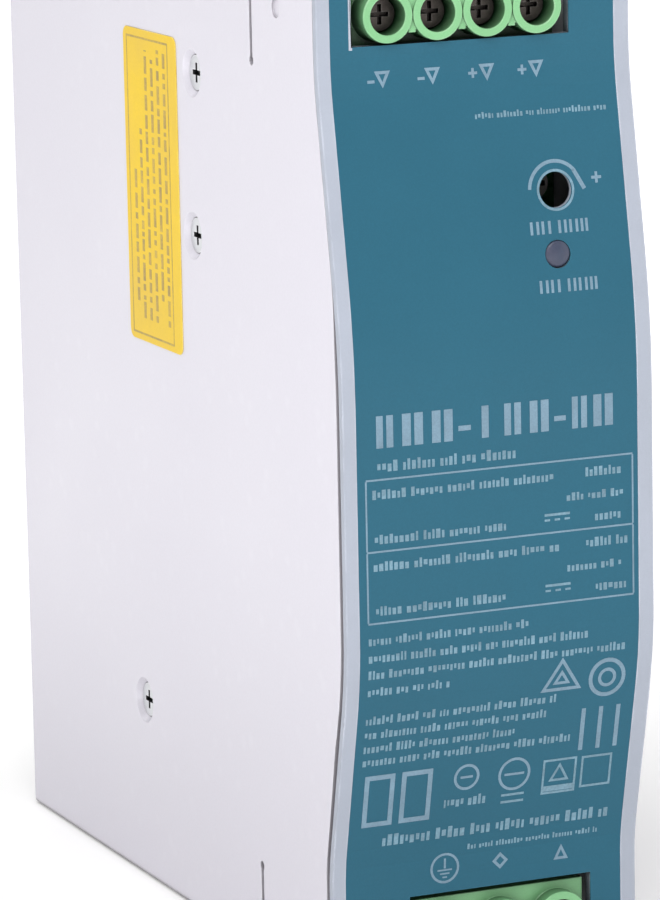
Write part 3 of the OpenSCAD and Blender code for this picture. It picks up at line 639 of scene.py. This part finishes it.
def print_title():
    """A row of plain blocks with two dashes, and a line of small print under it."""
    low, high = 67.2, 71.0
    for x0, x1 in ((-16.0, -13.4), (-12.7, -9.6), (-8.9, -5.8), (-2.5, -1.2), (0.4, 3.0),
                   (3.7, 6.6), (9.2, 11.6), (12.0, 15.0)):
        middle = (x0 + x1) / 2
        if x1 - x0 < 2:
            front.block((middle - 0.45, middle + 0.45), (low, high))
            continue
        half = max(0.35, (x1 - x0) / 4 - 0.22)
        for s in (-1, 1):
            centre = middle + s * (x1 - x0) / 4
            front.block((centre - half, centre + half), (low, high))
    for x0, x1 in ((-5.3, -3.7), (7.1, 8.6)):
        front.block((x0, x1), (68.3, 68.9))
    small.ticks((-15.7, 2.5), 64.4, 1.3, draw, 0.5, 0.22)


def print_table():
    """A frame of two cells with rows of small print."""
    lines, half = (63.5, 55.0, 46.5), 0.11
    for z in lines:
        front.block(PRINT_SIDES, (z - half, z + half))
    for x in PRINT_SIDES:
        for high, low in zip(lines, lines[1:]):
            front.block((x - half, x + half), (low + half, high - half))
    for z in lines[:-1]:
        small.ticks((-16.4, 7.8), z - 2.3, 1.1, draw, 0.5)
        small.ticks((11.1, 16.7), z - 2.2, 1.1, draw, 0.5)
        small.ticks((8.6, 16.3), z - 4.9, 0.95, draw, 0.45)
        small.ticks((-16.2, 1.4), z - 7.6, 1.1, draw, 0.5)
        small.ticks((12.3, 16.8), z - 7.6, 1.1, draw, 0.5)
        small.block((5.7, 9.0), (z - 6.5, z - 6.2))
        for x in (5.7, 7.0, 8.3):
            small.block((x, x + 0.7), (z - 7.1, z - 6.85))


def print_lines():
    """Eight lines of small print; each has its height and its right end."""
    for z, x1 in ((43.9, 3.7), (41.8, 11.4), (39.8, 16.2), (37.7, -6.6), (34.1, 8.0),
                  (32.3, 6.9), (30.5, 3.0), (28.8, 10.3)):
        small.ticks((PRINT_SIDES[0], x1), z, 1.05, draw, 0.42, 0.2)


def print_signs():
    """Plain signs: triangles, rings, bars and boxes."""
    front.stroke([(5.7, 35.7), (10.4, 35.7), (8.05, 39.3)], 0.4, closed=True)
    front.stroke([(7.2, 36.5), (8.9, 36.5), (8.05, 37.8)], 0.34, closed=True)
    front.ring(14.1, 36.5, 2.2, 0.5)
    front.ring(14.1, 36.5, 1.0, 0.4)
    for x in (11.4, 13.7, 16.0):
        front.stroke([(x, 27.4), (x, 32.8)], 0.55)
    for x0, x1 in ((-16.4, -13.1), (-11.6, -8.2)):
        front.stroke(box_outline(x0, x1, 21.2, 27.2), 0.6, closed=True)
    front.ring(-3.4, 25.8, 1.5, 0.34)
    front.block((-4.2, -2.6), (25.65, 25.95))
    small.ticks((-6.1, -0.2), 22.1, 1.3, draw, 0.42, 0.2)
    front.ring(2.9, 25.4, 1.95, 0.34)
    front.block((1.6, 4.2), (25.25, 25.55))
    for z in (22.6, 21.7):
        small.block((1.4, 4.4), (z, z + 0.3))
    for x, z, r in ((8.9, 24.4, 2.1), (13.8, 24.5, 1.9)):
        small.stroke(box_outline(x - r, x + r, z - r, z + r), 0.28, closed=True)
    small.block((6.95, 10.85), (22.5, 23.2))
    small.stroke([(7.8, 23.9), (10.0, 23.9), (8.9, 25.8)], 0.3, closed=True)
    small.ticks((-13.8, 16.0), 18.2, 1.45, draw, 0.55, 0.25)
    small.ticks((-2.5, 15.0), 16.3, 0.7, draw, 0.3, 0.16)


def print_input_marks():
    """Marks over the input terminals: protective earth, then two plain shapes."""
    x, z = -5.4, 14.3
    front.ring(x, z, 1.75, 0.3)
    front.block((x - 0.13, x + 0.13), (z - 0.05, z + 1.2))
    for drop, half in ((0.05, 0.95), (0.5, 0.62), (0.95, 0.3)):
        front.block((x - half, x + half), (z - drop - 0.3, z - drop - 0.1))
    front.stroke([(1.1, 14.3), (1.9, 15.1), (2.7, 14.3), (1.9, 13.5)], 0.36, closed=True)
    front.stroke([(9.3, 13.6), (10.7, 13.6), (10.0, 15.0)], 0.34, closed=True)


def print_sticker():
    """A thin border and upright columns of short strokes; places are (y, z)."""
    sticker = Print(on_sticker, proud=0.015, sunk=0.01)
    sticker.stroke(box_outline(-5.2, 8.4, 71.9, 109.4), 0.26, closed=True)
    first, pitch, half = -3.9, 2.05, 0.4
    for column, (low, high) in enumerate(((74, 108.4), (77, 108.4), (74, 107), (74, 108),
                                          (74, 98), (76, 93))):
        at = low
        y = first + column * pitch
        while at < high:
            length = draw.uniform(0.5, 2.4)
            sticker.block((y - half, y + half), (at, min(high, at + length)))
            at += length + draw.uniform(0.3, 0.7)
    sticker.piece("sticker_print", ink_dark, "label_yellow")


print_polarity()
print_adjuster()
print_title()
print_table()
print_lines()
print_signs()
print_input_marks()
front.piece("front_print", ink, "label_film")
small.piece("front_small_print", ink_small, "label_film")
print_sticker()

# ---- Stage and light ----


FLOOR_HALF, FLOOR_DROP = 6, 0.00002


def make_floor():
    """A pale floor that glows a little, less so close to the middle."""
    bm = bmesh.new()
    bmesh.ops.create_grid(bm, x_segments=2, y_segments=2, size=FLOOR_HALF)
    mesh = bpy.data.meshes.new("floor")
    bm.to_mesh(mesh)
    bm.free()
    floor = bpy.data.objects.new("floor", mesh)
    scene.collection.objects.link(floor)
    floor.location.z = -FLOOR_DROP
    mat = bpy.data.materials.new("pale_floor")
    mat.use_nodes = True
    tree = Nodes(mat.node_tree)
    shader = mat.node_tree.nodes["Principled BSDF"]
    soft = tree.add("TexNoise", {"Vector": tree.add("TexCoord").outputs["Object"],
                                 "Scale": 3.0})
    where = tree.add("TexCoord").outputs["Object"]
    away = tree.add("VectorMath", {0: where}, operation="LENGTH").outputs["Value"]
    tree.link(tree.mix(tree.remap(soft.outputs["Fac"], 0, 1), rgba((0.84, 0.84, 0.84)),
                       rgba((0.86, 0.86, 0.86))), shader.inputs["Base Color"])
    tree.link(tree.remap(away, 0.20, 0.80, 0.04, 0.20), shader.inputs["Emission Strength"])
    shader.inputs["Roughness"].default_value = 0.9
    shader.inputs["Specular IOR Level"].default_value = 0.1
    shader.inputs["Emission Color"].default_value = (1, 1, 1, 1)
    mesh.materials.append(mat)


def soft_light(name, at, towards, size, power, colour=(1, 1, 1)):
    data = bpy.data.lights.new(name, "AREA")
    data.shape, data.size, data.energy, data.color = "SQUARE", size, power, colour
    obj = bpy.data.objects.new(name, data)
    scene.collection.objects.link(obj)
    obj.location = at
    obj.rotation_euler = (Vector(towards) - Vector(at)).to_track_quat("-Z", "Y").to_euler()


make_floor()
middle = (0, 0, 0.06)
soft_light("near", (-0.22, -0.36, 0.46), (0, 0, 0.09), 0.35, 2.0, (1.0, 0.99, 0.98))
soft_light("key", (-0.45, -0.6, 0.75), middle, 0.5, 0.5)
soft_light("fill", (0.95, -0.7, 0.5), middle, 0.8, 2.7)
soft_light("back", (-0.6, 0.9, 0.8), middle, 0.8, 2.0)
world = bpy.data.worlds.new("world")
scene.world = world
world.use_nodes = True
world.node_tree.nodes["Background"].inputs["Color"].default_value = (1, 1, 1, 1)
world.node_tree.nodes["Background"].inputs["Strength"].default_value = 0.46
